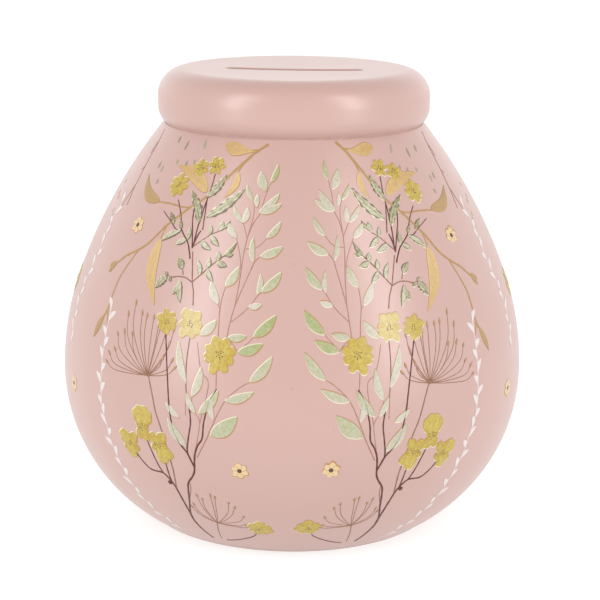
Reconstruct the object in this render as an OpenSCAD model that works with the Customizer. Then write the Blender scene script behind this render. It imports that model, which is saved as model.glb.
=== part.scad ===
// Ceramic money pot: a slip-cast body, a slotted lid cemented to its neck, a soft
// stopper in the base, and sprays of raised enamel flowers and leaves on the glaze.
// Millimetres, +Z up, origin at the centre of the foot, on the surface it stands on.
// The coin slot runs along X.

/* [Body] */
// Widest diameter of the body
belly_d = 150; // [148:0.5:152]
// Height of the widest ring
belly_z = 49.5; // [48:0.5:51]
// Radius of the arc from the widest ring down to the foot
lower_arc_r = 57.4; // [56:0.2:60]
// Radius of the arc just above the widest ring
upper_arc_r = 89; // [85:1:95]
// Turn of the arc just above the widest ring, in degrees
upper_arc_turn = 20; // [18:1:22]
// Radius of the flatter arc of the shoulder
shoulder_arc_r = 174; // [170:1:180]
// Thickness of the cast wall
wall = 4.6; // [4:0.1:5.5]

/* [Neck and lid] */
// Height of the neck's rim
neck_z = 129.5; // [128:0.5:131]
// Radius of the neck's bore
neck_bore_r = 35; // [33:0.5:35.5]
// Overall height with the lid
total_h = 146.5; // [145.5:0.5:149]
// Widest diameter of the lid
lid_d = 87.2; // [86:0.2:89]
// Radius of the lid's upper edge
lid_top_edge_r = 8.4; // [7:0.1:9]
// Radius of the lid's lower edge
lid_low_edge_r = 7.2; // [6.4:0.1:7.6]
// Thickness of the lid's top plate
lid_plate = 7; // [5:0.5:8]
// How far the middle of the lid's top sinks below its edge
lid_dish = 0.7; // [0.3:0.1:1.2]
// Length of the coin slot
slot_l = 44; // [38:1:48]
// Width of the coin slot
slot_w = 4.4; // [4.4:0.1:5.2]

/* [Base and stopper] */
// Width of the foot ring
foot_w = 6; // [5:0.5:8]
// Depth of the recess inside the foot ring
foot_recess = 4; // [3.6:0.1:5]
// Thickness of the base inside the foot ring
base_t = 6; // [5:0.5:7]
// Radius of the hole in the base
hole_r = 18; // [16:0.5:20]
// Radius of the stopper's flange
flange_r = 23; // [22:0.5:26]

/* [Raised enamel] */
// Turn of the first pair of sprays from the slot's side, in degrees
spray_turn = 3; // [-15:1:15]
// Pairs of sprays round the body
spray_pairs = 2; // [1:1:2]
// Height of the enamel above the glaze
enamel_h = 0.3; // [0.2:0.05:0.5]

/* [Hidden] */
$fn = 96;
belly_r = belly_d / 2;
lid_r = lid_d / 2;
foot_edge = 0.8;             // height of the rounded edge under the foot
base_top = foot_recess + base_t;
gallery_h = 5;               // height of the thick ring at the neck
cement_t = 0.4;              // cement between the rim and the lid
cement_inset = 0.3;          // how far the cement stays back from the seam
seat_z = neck_z + cement_t;  // underside of the lid
spigot_r = neck_bore_r - 0.8;
spigot_w = 4.5;
spigot_h = 6;
slot_bevel = 0.4;            // least chamfer along the slot's upper edges
plug_rib_r = hole_r - 0.06;  // running clearance of the stopper's ribs
plug_core_r = hole_r - 0.8;
plug_wall = 2.2;
plug_h = 12;                 // height above the flange
plug_nose = 1;               // step at the top that guides it in
flange_t = 2.4;
rib_h = 1.2;
rib_pitch = 2.6;
rib_low = 0.8;               // first rib above the flange
pull_bar_w = 4;
pull_bar_h = 7;
reach = 400;                 // larger than the whole pot
glaze_gap = 0.02;            // between the glaze and the enamel

// Centres of the body's arcs as [radius, height], on one normal where two arcs meet
lower_c = [belly_r - lower_arc_r, belly_z];
upper_c = [belly_r - upper_arc_r, belly_z];
turn_dir = [cos(upper_arc_turn), sin(upper_arc_turn)];
meet = upper_c + upper_arc_r * turn_dir;
shoulder_c = meet - shoulder_arc_r * turn_dir;

// Outer radius of the body and the tilt of its wall at a height
function arc_x(c, r, z) = c[0] + sqrt(r * r - (z - c[1]) * (z - c[1]));
function arc_tilt(c, r, z) = asin((z - c[1]) / r);
function body_r(z) = z < belly_z ? arc_x(lower_c, lower_arc_r, z)
                   : z < meet[1] ? arc_x(upper_c, upper_arc_r, z)
                   : arc_x(shoulder_c, shoulder_arc_r, z);
function body_tilt(z) = z < belly_z ? arc_tilt(lower_c, lower_arc_r, z)
                      : z < meet[1] ? arc_tilt(upper_c, upper_arc_r, z)
                      : arc_tilt(shoulder_c, shoulder_arc_r, z);

neck_r = body_r(neck_z);
foot_r = body_r(foot_edge) - foot_edge;
// The lid's lower roll is cut where it is as wide as the neck
low_roll_z = seat_z + sqrt(pow(lid_low_edge_r, 2) - pow(neck_r - lid_r + lid_low_edge_r, 2));

// A rectangle of the half section between two radii and two heights
module ring_section(r1, r2, z1, z2) {
    translate([r1, z1]) square([r2 - r1, z2 - z1]);
}

// One arc of the half section between two heights
module arc_section(c, r, low, high) {
    intersection() {
        translate(c) circle(r);
        ring_section(0, reach, low, high);
    }
}

// The body's filled half section, grown (or shrunk) along its normals
module outline(low, high, grow = 0) {
    arc_section(lower_c, lower_arc_r + grow, low, belly_z);
    arc_section(upper_c, upper_arc_r + grow, belly_z, meet[1]);
    arc_section(shoulder_c, shoulder_arc_r + grow, meet[1], high);
}

module body_section() {
    difference() {
        union() {
            outline(foot_edge, neck_z);
            polygon([[0, 0], [foot_r, 0], [foot_r + foot_edge, foot_edge], [0, foot_edge]]);
        }
        outline(base_top, neck_z - gallery_h, -wall);
        ring_section(0, neck_bore_r, neck_z - gallery_h - 1, neck_z + 1);
        ring_section(0, foot_r - foot_w, -1, foot_recess);
    }
}

module pot_body() {
    color("#e2b8af") difference() {
        rotate_extrude() body_section();
        translate([0, 0, -1]) cylinder(r = hole_r, h = base_top + 2);
    }
}

// Slightly dished top, fat rolled edge, and a spigot that drops into the neck
module lid_section() {
    top_roll_z = total_h - lid_top_edge_r;
    dish_edge = lid_r - lid_top_edge_r;
    dish_r = (dish_edge * dish_edge + lid_dish * lid_dish) / (2 * lid_dish);
    difference() {
        union() {
            ring_section(0, lid_r - lid_top_edge_r, seat_z, total_h);
            ring_section(0, lid_r, low_roll_z, top_roll_z);
            arc_section([lid_r - lid_top_edge_r, top_roll_z], lid_top_edge_r, top_roll_z, total_h);
            arc_section([lid_r - lid_low_edge_r, low_roll_z], lid_low_edge_r, seat_z, low_roll_z);
            ring_section(0, spigot_r, seat_z - spigot_h, seat_z);
        }
        ring_section(0, spigot_r - spigot_w, seat_z - spigot_h - 1, total_h - lid_plate);
        translate([0, total_h - lid_dish + dish_r]) circle(dish_r, $fn = 3600);
    }
}

// A slot with round ends; its upper edges open out in a chamfer that starts below the dish
module slot_cut() {
    end_x = (slot_l - slot_w) / 2;
    half = slot_w / 2;
    bevel_h = lid_dish + slot_bevel;
    wide = half + bevel_h;
    translate([0, 0, total_h - lid_plate - 1]) linear_extrude(lid_plate + 2) {
        square([2 * end_x, slot_w], center = true);
        for (side = [-1, 1]) translate([side * end_x, 0]) circle(half);
    }
    translate([-end_x, 0, total_h]) rotate([90, 0, 90]) linear_extrude(2 * end_x)
        polygon([[-half, -bevel_h], [half, -bevel_h], [wide, 0], [-wide, 0]]);
    for (side = [-1, 1]) translate([side * end_x, 0, total_h - bevel_h])
        cylinder(r1 = half, r2 = wide, h = bevel_h);
}

module lid() {
    color("#dfb4ab") difference() {
        rotate_extrude() lid_section();
        slot_cut();
    }
}

module lid_cement() {
    color("#e9dfd8") rotate_extrude() {
        ring_section(spigot_r, neck_r - cement_inset, neck_z, seat_z);
        ring_section(spigot_r, neck_bore_r, seat_z - spigot_h + 1, neck_z);
    }
}

// A flanged cup, open below, with sealing ribs and a bar across it to pull it out by
module base_stopper() {
    top = foot_recess + plug_h;
    low = foot_recess - flange_t;
    cup_r = plug_core_r - plug_wall;
    color("#d8d3cd") {
        rotate_extrude() difference() {
            union() {
                ring_section(0, flange_r, low, foot_recess);
                ring_section(0, plug_core_r, foot_recess, top - plug_nose);
                ring_section(0, plug_core_r - plug_nose, top - plug_nose, top);
                for (i = [0 : 2]) translate([0, foot_recess + rib_low + i * rib_pitch])
                    ring_section(0, plug_rib_r, 0, rib_h);
            }
            ring_section(0, cup_r, low, top - plug_wall);
        }
        intersection() {
            translate([-cup_r, -pull_bar_w / 2, low]) cube([2 * cup_r, pull_bar_w, pull_bar_h]);
            cylinder(r = cup_r + plug_wall / 4, h = top);
        }
    }
}

// The thin layer on the glaze that every raised shape is cut from
module enamel_layer(low, high) {
    rotate_extrude() difference() {
        outline(low, high, enamel_h);
        outline(low, high, glaze_gap);
    }
}

// Stands a flat shape up on the body at an angle and a height from [angle, height]
module on_body(place) {
    z = place[1];
    rotate(place[0] - 90) translate([body_r(z), 0, z]) rotate([0, 90 - body_tilt(z), 0])
        rotate(90) translate([0, 0, -3]) linear_extrude(6) children();
}

// Sprays stand in mirrored pairs; a spray's angles are counted from its pair's middle
module every_spray() {
    for (pair = [0 : spray_pairs - 1]) rotate(spray_turn + pair * 360 / spray_pairs)
        for (side = [0, 1]) mirror([side, 0, 0]) children();
}

module blossom(r, petals) {
    circle(r * 0.5);
    for (i = [0 : petals - 1]) rotate(i * 360 / petals) translate([0, r * 0.62]) circle(r * 0.4);
}

// A pointed leaf from its stalk along +Y, where two circles cross
module leaf(l, w) {
    r = (l * l + w * w) / (4 * w);
    intersection() {
        translate([r - w / 2, l / 2]) circle(r);
        translate([w / 2 - r, l / 2]) circle(r);
    }
}

module yellow_blossoms() {
    // angle, height, radius
    places = [[16.2, 70, 5.2], [24.5, 78, 4.4], [31.5, 78.3, 3.9], [40.7, 115, 3.7], [34.3, 120.5, 2.9],
              [28, 121.3, 2.7], [40.5, 38, 4.2], [36.3, 45.5, 3.7], [31.5, 39.5, 3.5], [8, 13, 3.3],
              [84, 79, 4]];
    color("#d8c058") intersection() {
        enamel_layer(5, 127);
        every_spray() for (p = places) on_body(p) blossom(p[2], 5);
    }
}

// Two among the stems of each spray, and one out in the gap beside it
module cream_blossoms() {
    places = [[51.8, 102, 2.3], [11.3, 35, 2.3], [66, 49.5, 2.3]];
    color("#e9cf9c") intersection() {
        enamel_layer(30, 110);
        every_spray() for (p = places) on_body(p) blossom(p[2], 6);
    }
}

// A leaf that lies along the body from [angle, height] at its stalk to its tip, which come
// with its width as [stalk angle, stalk height, tip angle, tip height, width]
module leaf_on_body(p) {
    middle_z = (p[1] + p[3]) / 2;
    across = (p[2] - p[0]) * PI / 180 * body_r(middle_z);
    up = (p[3] - p[1]) / cos(body_tilt(middle_z));
    on_body([p[0], p[1]]) rotate(atan2(-across, up)) leaf(norm([across, up]), p[4]);
}

module sage_leaves() {
    places = [[8.5, 115, 10.3, 120.5, 2.8], [9.5, 109.5, 4, 114.5, 2.2], [14.3, 106.5, 17.5, 111, 2.2],
              [6.5, 102.7, 3, 107, 2.2], [15.5, 102.5, 18.5, 106.5, 2], [8, 97.5, 2.2, 100.3, 2.6],
              [16.5, 89, 13.7, 94.5, 2.6], [7, 88, 2.3, 93.5, 2.8], [18, 84, 20, 90, 2.4],
              [8.3, 75.5, 3.3, 81.5, 3.2], [11, 71.2, 6.2, 73.5, 3], [8.7, 62.7, 4, 70, 3.2],
              [14.3, 56.7, 8, 59.7, 2.8], [17.8, 45.5, 11.7, 52, 4.6], [20.5, 52, 16, 59.5, 2.8],
              [22.5, 57, 20.5, 66, 2.8], [24, 41, 28.5, 49, 3.4]];
    color("#c5d3b4") intersection() {
        enamel_layer(38, 125);
        every_spray() for (p = places) leaf_on_body(p);
    }
}

module gold_leaves() {
    places = [[15, 126, 24, 126.3, 2.4], [18.5, 120.5, 21.5, 114, 2.2], [37, 81.5, 40, 102.5, 4.4],
              [47, 108.5, 56, 112, 3.6], [53, 78.5, 56, 69.5, 2.6]];
    color("#c99f5e") intersection() {
        enamel_layer(68, 129);
        every_spray() for (p = places) leaf_on_body(p);
    }
}

pot_body();
lid();
lid_cement();
base_stopper();
yellow_blossoms();
cream_blossoms();
sage_leaves();
gold_leaves();
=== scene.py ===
import math
import random
import bpy
import bmesh
import numpy as np
from mathutils import Matrix, Vector


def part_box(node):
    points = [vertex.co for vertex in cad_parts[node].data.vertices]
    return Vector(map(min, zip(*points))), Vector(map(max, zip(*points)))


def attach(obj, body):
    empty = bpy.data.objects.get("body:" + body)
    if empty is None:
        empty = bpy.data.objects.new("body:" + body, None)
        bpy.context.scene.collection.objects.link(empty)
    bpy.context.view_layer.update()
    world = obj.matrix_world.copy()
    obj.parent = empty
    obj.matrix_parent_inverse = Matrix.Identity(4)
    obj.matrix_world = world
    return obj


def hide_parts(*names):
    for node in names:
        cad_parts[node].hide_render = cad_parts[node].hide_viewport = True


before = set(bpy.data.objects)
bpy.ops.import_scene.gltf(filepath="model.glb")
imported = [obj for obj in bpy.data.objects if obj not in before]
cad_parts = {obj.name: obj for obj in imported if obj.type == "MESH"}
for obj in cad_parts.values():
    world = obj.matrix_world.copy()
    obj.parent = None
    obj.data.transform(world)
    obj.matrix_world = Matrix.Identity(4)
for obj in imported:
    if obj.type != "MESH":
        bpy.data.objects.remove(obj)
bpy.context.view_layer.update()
mm = 0.001
print("frame loaded:", sorted(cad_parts))


# sizes that the frame gives, in millimetres
def nodeBox(node):
    low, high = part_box(node)
    return low / mm, high / mm


potHigh = nodeBox("pot_body")[1]
lidHigh = nodeBox("lid")[1]
stopperLow, stopperHigh = nodeBox("base_stopper")
bellyRadius = potHigh.x
neckHeight = potHigh.z
lidTop = lidHigh.z
lidRadius = lidHigh.y

# the pot's wall, arc by arc, in millimetres and degrees
pot = dict(bellyHeight=49.5, lowerArc=57.4, upperArc=89, upperTurn=20, shoulderArc=174,
           wall=4.6, footWidth=6, footRecess=4, baseTop=10, holeRadius=18, neckBore=35, gallery=5,
           rowStep=1.2, columns=288)
# the camera: degrees round from the slot's side and up, millimetres away and up to what it looks at
view = dict(turn=3.8, rise=13.7, distance=600, aim=69.9, lens=109.1, sideways=0.0125, lean=0.43)
sprayTurn = 3  # degrees from the slot's side to the middle of the first pair of sprays


def placeObject(name, data):
    item = bpy.data.objects.new(name, data)
    bpy.context.collection.objects.link(item)
    return item


# the direction from the pot to a place so many degrees round and up
def towards(turn, rise):
    turn, rise = math.radians(turn), math.radians(rise)
    return Vector((math.sin(turn) * math.cos(rise), -math.cos(turn) * math.cos(rise), math.sin(rise)))


def makeCamera():
    data = bpy.data.cameras.new("studioCamera")
    data.lens = view["lens"]
    data.sensor_width = 36
    data.shift_x = view["sideways"]
    data.clip_start = 0.01
    data.clip_end = 50
    camera = placeObject("studioCamera", data)
    back = towards(view["turn"], view["rise"])
    camera.location = Vector((0, 0, view["aim"] * mm)) + back * view["distance"] * mm
    facing = (-back).to_track_quat("-Z", "Y").to_matrix()
    camera.rotation_euler = (facing @ Matrix.Rotation(math.radians(view["lean"]), 3, "Z")).to_euler()
    bpy.context.scene.camera = camera


makeCamera()
print("camera placed")

# the wall's arcs meet on one normal, so each centre follows from the last
lowerCentre = (bellyRadius - pot["lowerArc"], pot["bellyHeight"])
upperCentre = (bellyRadius - pot["upperArc"], pot["bellyHeight"])
turnRadians = math.radians(pot["upperTurn"])
meetHeight = upperCentre[1] + pot["upperArc"] * math.sin(turnRadians)
arcDifference = pot["upperArc"] - pot["shoulderArc"]
shoulderCentre = (upperCentre[0] + arcDifference * math.cos(turnRadians),
                  upperCentre[1] + arcDifference * math.sin(turnRadians))


def wallArc(height):
    if height < pot["bellyHeight"]:
        return lowerCentre, pot["lowerArc"]
    if height < meetHeight:
        return upperCentre, pot["upperArc"]
    return shoulderCentre, pot["shoulderArc"]


def wallRadius(height, inset=0):
    centre, arc = wallArc(height)
    return centre[0] + math.sqrt((arc - inset) ** 2 - (height - centre[1]) ** 2)


def wallTilt(height):
    centre, arc = wallArc(height)
    return math.asin((height - centre[1]) / arc)


# materials: a colour with soft mottling, fine grain in the gloss, and a little relief
def newMaterial(name):
    material = bpy.data.materials.new(name)
    material.use_nodes = True
    tree = material.node_tree
    return material, tree, tree.nodes["Principled BSDF"]


def setInputs(node, values):
    for name, value in values.items():
        node.inputs[name].default_value = value


# colours are written as they look in the studio, whose light is a little over full strength
studioLight = 1.33


def linear(colour):
    return [((c / 255 + 0.055) / 1.055) ** 2.4 / studioLight for c in colour] + [1]


def addNoise(tree, scale, detail=3, roughness=0.5):
    place = tree.nodes.new("ShaderNodeTexCoord")
    noise = tree.nodes.new("ShaderNodeTexNoise")
    setInputs(noise, dict(Scale=scale, Detail=detail, Roughness=roughness))
    tree.links.new(place.outputs["Object"], noise.inputs["Vector"])
    return noise


def addRamp(tree, source, stops):
    ramp = tree.nodes.new("ShaderNodeValToRGB")
    while len(ramp.color_ramp.elements) < len(stops):
        ramp.color_ramp.elements.new(0.5)
    for element, (position, colour) in zip(ramp.color_ramp.elements, stops):
        element.position = position
        element.color = colour
    tree.links.new(source, ramp.inputs["Fac"])
    return ramp


# a colour that drifts in soft clouds from one shade to another
def addClouds(tree, light, dark, scale, detail=3, roughness=0.5, reach=0.2):
    cloud = addNoise(tree, scale, detail, roughness)
    stops = [(0.5 - reach, linear(light)), (0.5 + reach, linear(dark))]
    return addRamp(tree, cloud.outputs["Fac"], stops).outputs["Color"]


# a sum, product and so on of links and plain numbers
def addMath(tree, operation, *values):
    node = tree.nodes.new("ShaderNodeMath")
    node.operation = operation
    for socket, value in zip(node.inputs, values):
        if isinstance(value, bpy.types.NodeSocket):
            tree.links.new(value, socket)
        else:
            socket.default_value = value
    return node.outputs["Value"]


# spreads a value that runs from start to 1 over low to high
def addRange(tree, source, low, high, start=0):
    spread = tree.nodes.new("ShaderNodeMapRange")
    setInputs(spread, {"From Min": start, "To Min": low, "To Max": high})
    tree.links.new(source, spread.inputs["Value"])
    return spread.outputs["Result"]


def addRoughness(tree, shader, low, high, scale):
    noise = addNoise(tree, scale, 2)
    tree.links.new(addRange(tree, noise.outputs["Fac"], low, high), shader.inputs["Roughness"])


def addBump(tree, shader, scale, depth, strength=1):
    noise = addNoise(tree, scale, 3)
    bump = tree.nodes.new("ShaderNodeBump")
    setInputs(bump, dict(Strength=strength, Distance=depth))
    tree.links.new(noise.outputs["Fac"], bump.inputs["Height"])
    tree.links.new(bump.outputs["Normal"], shader.inputs["Normal"])


def glazeMaterial(name, light, dark, speck, gloss=0.3):
    material, tree, shader = newMaterial(name)
    colour = addClouds(tree, light, dark, 14, reach=0.4)
    grain = addNoise(tree, 900, 1)  # pin-point specks in the glaze
    specks = addRamp(tree, grain.outputs["Fac"], [(0.76, (0, 0, 0, 1)), (0.8, (1, 1, 1, 1))])
    mix = tree.nodes.new("ShaderNodeMix")
    mix.data_type = "RGBA"
    factor, first, second = mix.inputs[0], mix.inputs[6], mix.inputs[7]
    tree.links.new(specks.outputs["Color"], factor)
    tree.links.new(colour, first)
    second.default_value = linear(speck)
    tree.links.new(mix.outputs[2], shader.inputs["Base Color"])
    addRoughness(tree, shader, gloss, gloss + 0.06, 40)
    addBump(tree, shader, 160, 0.00003, 0.5)
    setInputs(shader, dict(IOR=1.55))
    return material


def clayMaterial(name, light, dark, roughness, scale):
    material, tree, shader = newMaterial(name)
    tree.links.new(addClouds(tree, light, dark, scale, 4, 0.6), shader.inputs["Base Color"])
    addRoughness(tree, shader, roughness, roughness + 0.15, scale)
    addBump(tree, shader, scale * 8, 0.00008)
    return material


# printed colours: the tone kept on each point picks the shade, and noise breaks it up
enamelGloss = 0.32


def enamelMaterial(name, stops, mottle):
    material, tree, shader = newMaterial(name)
    tone = tree.nodes.new("ShaderNodeAttribute")
    tone.attribute_name = "tone"
    noise = addNoise(tree, 1100, 3)
    jitter = addMath(tree, "MULTIPLY_ADD", noise.outputs["Fac"], mottle * 4, -mottle * 2)
    total = addMath(tree, "ADD", tone.outputs["Fac"], jitter)
    count = len(stops) - 1
    ramp = addRamp(tree, total, [(i / count, linear(colour)) for i, colour in enumerate(stops)])
    tree.links.new(ramp.outputs["Color"], shader.inputs["Base Color"])
    addRoughness(tree, shader, enamelGloss, enamelGloss + 0.08, 700)
    addBump(tree, shader, 2500, 0.00002, 0.6)
    return material


# closed outlines with rounded corners: each corner is radius, height, rounding
def roundedOutline(corners, steps=5):
    outline = []
    count = len(corners)
    for i, (r, z, rounding) in enumerate(corners):
        here = Vector((r, z))
        if not rounding:
            outline.append((r, z))
            continue
        before = (Vector(corners[i - 1][:2]) - here).normalized()
        after = (Vector(corners[(i + 1) % count][:2]) - here).normalized()
        for k in range(steps + 1):  # a quadratic curve that touches both sides
            t = k / steps
            a = here + before * rounding * (1 - t) ** 2
            outline.append(tuple(a + after * rounding * t ** 2))
    return outline


# the faces between two closed rings of points, given where each ring starts
def band(here, there, count):
    return [[here + i, here + (i + 1) % count, there + (i + 1) % count, there + i] for i in range(count)]


def meshObject(name, points, faces, material, smoothAngle=35):
    mesh = bpy.data.meshes.new(name)
    mesh.from_pydata([tuple(p) for p in points], [], faces)
    mesh.validate()
    work = bmesh.new()
    work.from_mesh(mesh)
    bmesh.ops.recalc_face_normals(work, faces=work.faces)
    work.to_mesh(mesh)
    work.free()
    mesh.materials.append(material)
    piece = placeObject(name, mesh)
    bpy.ops.object.select_all(action="DESELECT")
    bpy.context.view_layer.objects.active = piece
    piece.select_set(True)
    bpy.ops.object.shade_smooth_by_angle(angle=math.radians(smoothAngle))
    return piece


# turns a closed outline about the pot's axis; a point on the axis becomes one vertex
def lathePiece(name, outline, material, columns):
    points, rings = [], []
    for r, z in outline:
        ring = []
        for i in range(columns if r > 1e-6 else 1):
            angle = 2 * math.pi * i / columns
            ring.append(len(points))
            points.append((r * math.cos(angle) * mm, r * math.sin(angle) * mm, z * mm))
        rings.append(ring)
    faces = []
    for k, ring in enumerate(rings):
        following = rings[(k + 1) % len(rings)]
        if len(ring) == 1 and len(following) == 1:
            continue
        for i in range(columns):
            j = (i + 1) % columns
            corners = [ring[i % len(ring)], ring[j % len(ring)],
                       following[j % len(following)], following[i % len(following)]]
            faces.append(list(dict.fromkeys(corners)))
    return meshObject(name, points, faces, material)


def finishPiece(piece, body, slot, *nodes):
    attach(piece, body)
    if nodes:
        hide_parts(*nodes)


glaze = dict(light=(210, 173, 164), dark=(207, 169, 160), speck=(196, 156, 146))
bodyGlaze = glazeMaterial("bodyGlaze", **glaze)
lidGlaze = glazeMaterial("lidGlaze", **glaze, gloss=0.28)
bareClay = clayMaterial("bareClay", (236, 226, 215), (224, 211, 198), 0.75, 120)
cementPaste = clayMaterial("cementPaste", (224, 190, 180), (214, 179, 169), 0.6, 300)


# the body: outer wall, rounded rim, thick ring at the neck, inner wall, base with its hole, foot ring
def makeBody():
    rows = int((neckHeight - 1) / pot["rowStep"])
    heights = [1 + (neckHeight - 1) * i / rows for i in range(rows + 1)]
    footRadius = wallRadius(0.8) - 0.8
    innerFoot = footRadius - pot["footWidth"]
    galleryLow = neckHeight - pot["gallery"]
    corners = [(footRadius, 0, 0.5)]
    corners += [(wallRadius(h), h, 0) for h in heights[:-1]]
    corners += [(wallRadius(neckHeight), neckHeight, 0.25), (pot["neckBore"], neckHeight, 0.8),
                (pot["neckBore"], galleryLow, 0.8)]
    inner = [h for h in reversed(heights) if pot["baseTop"] + 2 < h < galleryLow - 1]
    corners += [(wallRadius(galleryLow, pot["wall"]), galleryLow, 0)]
    corners += [(wallRadius(h, pot["wall"]), h, 0) for h in inner]
    corners += [(wallRadius(pot["baseTop"], pot["wall"]), pot["baseTop"], 1.5),
                (pot["holeRadius"], pot["baseTop"], 0.6), (pot["holeRadius"], pot["footRecess"], 0.6),
                (innerFoot, pot["footRecess"], 1), (innerFoot, 0, 1)]
    body = lathePiece("potBody", roundedOutline(corners), bodyGlaze, pot["columns"])
    body.data.materials.append(bareClay)
    for face in body.data.polygons:  # the foot ring is wiped clean of glaze before firing
        radius = math.hypot(face.center.x, face.center.y) / mm
        if face.center.z < 0.25 * mm and innerFoot < radius < footRadius + 0.5:
            face.material_index = 1
    finishPiece(body, "pot", "body_glaze", "pot_body")


makeBody()
print("body turned")

lidShape = dict(topEdge=8.4, lowEdge=7.2, seat=0.4, plate=7, spigotRadius=34.2, spigotWall=4.5,
                spigotDepth=6, slotLength=44, slotWidth=4.4, slotEdge=0.4, dish=0.7, columns=240,
                slotRows=6, topShares=(0.03, 0.08, 0.16, 0.28, 0.42, 0.58, 0.74, 0.88), topRows=18,
                lowRows=14)


# one point of the slot's outline, counted from its +X end, the outline grown by some millimetres
def slotPoint(share, grow):
    half = lidShape["slotWidth"] / 2
    straight = lidShape["slotLength"] - lidShape["slotWidth"]
    cap = math.pi * half
    run = share * (2 * cap + 2 * straight)
    reach = half + grow
    if run < cap / 2 or run >= 1.5 * cap + 2 * straight:
        angle = run / half if run < cap / 2 else (run - 2 * cap - 2 * straight) / half
        return straight / 2 + reach * math.cos(angle), reach * math.sin(angle)
    if run < cap / 2 + straight:
        return straight / 2 - (run - cap / 2), reach
    if run < 1.5 * cap + straight:
        angle = (run - straight) / half
        return -straight / 2 + reach * math.cos(angle), reach * math.sin(angle)
    return -straight / 2 + run - 1.5 * cap - straight, -reach


# how far the lid's top has sunk at a distance from its middle
def dishDepth(radius):
    edge = lidRadius - lidShape["topEdge"]
    return lidShape["dish"] * max(0, 1 - (radius / edge) ** 2)


# the lid is one skin of rings: up the slot, over the top, round the roll, down the spigot and back.
# A ring is the share of the way from the slot to a circle, the slot's growth, a radius and a height.
def makeLid():
    s = lidShape
    seat = neckHeight + s["seat"]
    topRing = lidRadius - s["topEdge"]
    topRoll = lidTop - s["topEdge"]
    lowRing = lidRadius - s["lowEdge"]
    drop = math.acos((wallRadius(neckHeight) - lowRing) / s["lowEdge"])
    lowRoll = seat + s["lowEdge"] * math.sin(drop)
    ceiling = lidTop - s["plate"]
    spigotLow = seat - s["spigotDepth"]
    inside = s["spigotRadius"] - s["spigotWall"]
    rings = [(0, 0.5, 0, ceiling), (0, 0, 0, ceiling + 0.5), (0, 0, 0, lidTop - s["slotEdge"])]
    for k in range(1, s["slotRows"] + 1):
        angle = math.pi / 2 * k / s["slotRows"]
        rings.append((0, s["slotEdge"] * (1 - math.cos(angle)), 0,
                      lidTop - s["slotEdge"] * (1 - math.sin(angle))))
    rings += [(share, s["slotEdge"], topRing, lidTop) for share in s["topShares"]]
    for k in range(s["topRows"] + 1):
        angle = math.pi / 2 * (1 - k / s["topRows"])
        radius = topRing + s["topEdge"] * math.cos(angle)
        rings.append((1, 0, radius, topRoll + s["topEdge"] * math.sin(angle)))
    for k in range(1, s["lowRows"] + 1):
        angle = -drop * k / s["lowRows"]
        radius = lowRing + s["lowEdge"] * math.cos(angle)
        rings.append((1, 0, radius, lowRoll + s["lowEdge"] * math.sin(angle)))
    corners = [(s["spigotRadius"], seat, 0.4), (s["spigotRadius"], spigotLow, 0.8),
               (inside, spigotLow, 0.8), (inside, ceiling, 2), (inside / 2, ceiling, 0)]
    under = roundedOutline([(lowRing, seat, 0)] + corners)[1:]
    rings += [(1, 0, r, z) for r, z in under]
    rings += [(share, 0.5, inside / 2, ceiling) for share in (0.6, 0.3)]
    points, faces = [], []
    count = s["columns"]
    for share, grow, radius, z in rings:
        for i in range(count):
            angle = 2 * math.pi * i / count
            sx, sy = slotPoint(i / count, grow)
            cx, cy = radius * math.cos(angle), radius * math.sin(angle)
            x, y = sx + (cx - sx) * share, sy + (cy - sy) * share
            sunk = dishDepth(math.hypot(x, y)) if z > lidTop - 1 else 0
            points.append((x * mm, y * mm, (z - sunk) * mm))
    for k in range(len(rings)):
        faces += band(k * count, (k + 1) % len(rings) * count, count)
    lid = meshObject("slottedLid", points, faces, lidGlaze)
    finishPiece(lid, "pot", "lid_glaze", "lid")


makeLid()
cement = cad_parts["lid_cement"]
cement.data.materials.clear()
cement.data.materials.append(cementPaste)
print("lid made")

stopper = dict(flange=23, flangeThick=2.4, core=17.2, rib=17.9, wall=2.2, nose=1, ribHeight=1.2,
               ribPitch=2.6, ribLow=0.8, barWidth=4, barHeight=7, barRows=13, waist=0.25, columns=160,
               light=(222, 218, 211), dark=(212, 207, 199))


def rubberMaterial():
    material, tree, shader = newMaterial("stopperRubber")
    colour = addClouds(tree, stopper["light"], stopper["dark"], 90)
    tree.links.new(colour, shader.inputs["Base Color"])
    addRoughness(tree, shader, 0.5, 0.62, 200)
    addBump(tree, shader, 1200, 0.00004)
    setInputs(shader, {"Subsurface Weight": 0.15, "Subsurface Scale": 0.004})
    return material


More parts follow.
